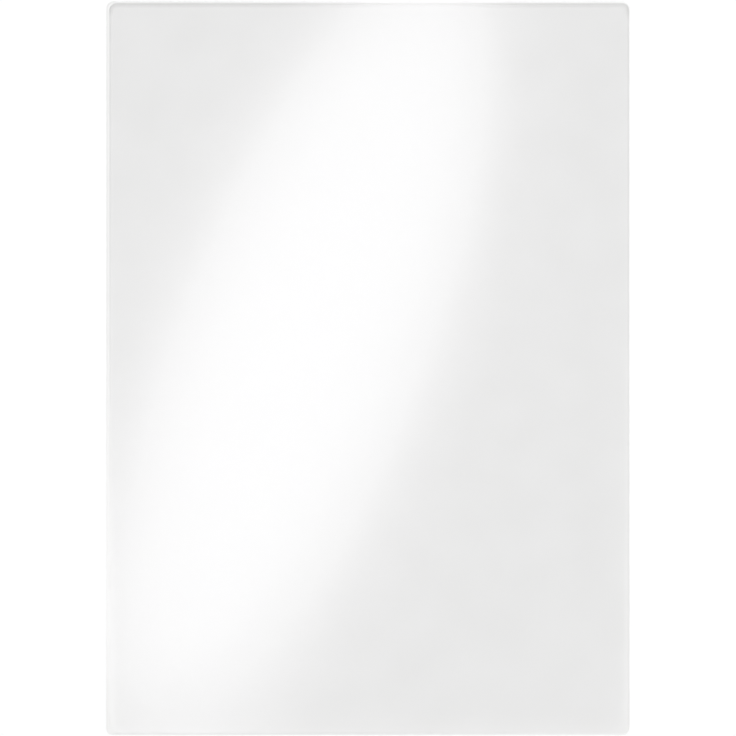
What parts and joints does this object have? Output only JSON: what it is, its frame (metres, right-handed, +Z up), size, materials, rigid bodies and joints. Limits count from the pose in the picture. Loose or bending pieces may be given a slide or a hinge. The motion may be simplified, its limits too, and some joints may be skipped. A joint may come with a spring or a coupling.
{
  "type": "laminating pouch",
  "caption": "Clear laminating pouch for an A4 sheet: two thin films heat-sealed along one short edge, open along the other edges, with rounded corners.",
  "frame": {"origin": "middle of the pouch's outline, on the level surface that the back film lies on", "axes": "+X across the pouch to the right as seen from the front film, +Y along the pouch from the open mouth to the heat-sealed edge, +Z up, out of the front film"},
  "size_m": [0.216, 0.303, 0.0033],
  "materials": {
    "clear_film": "glossy clear polyester film with a faint haze from its adhesive coating"
  },
  "bodies": {
    "root": {"back_film": "clear_film", "front_film": "clear_film"}
  },
  "joints": []
}
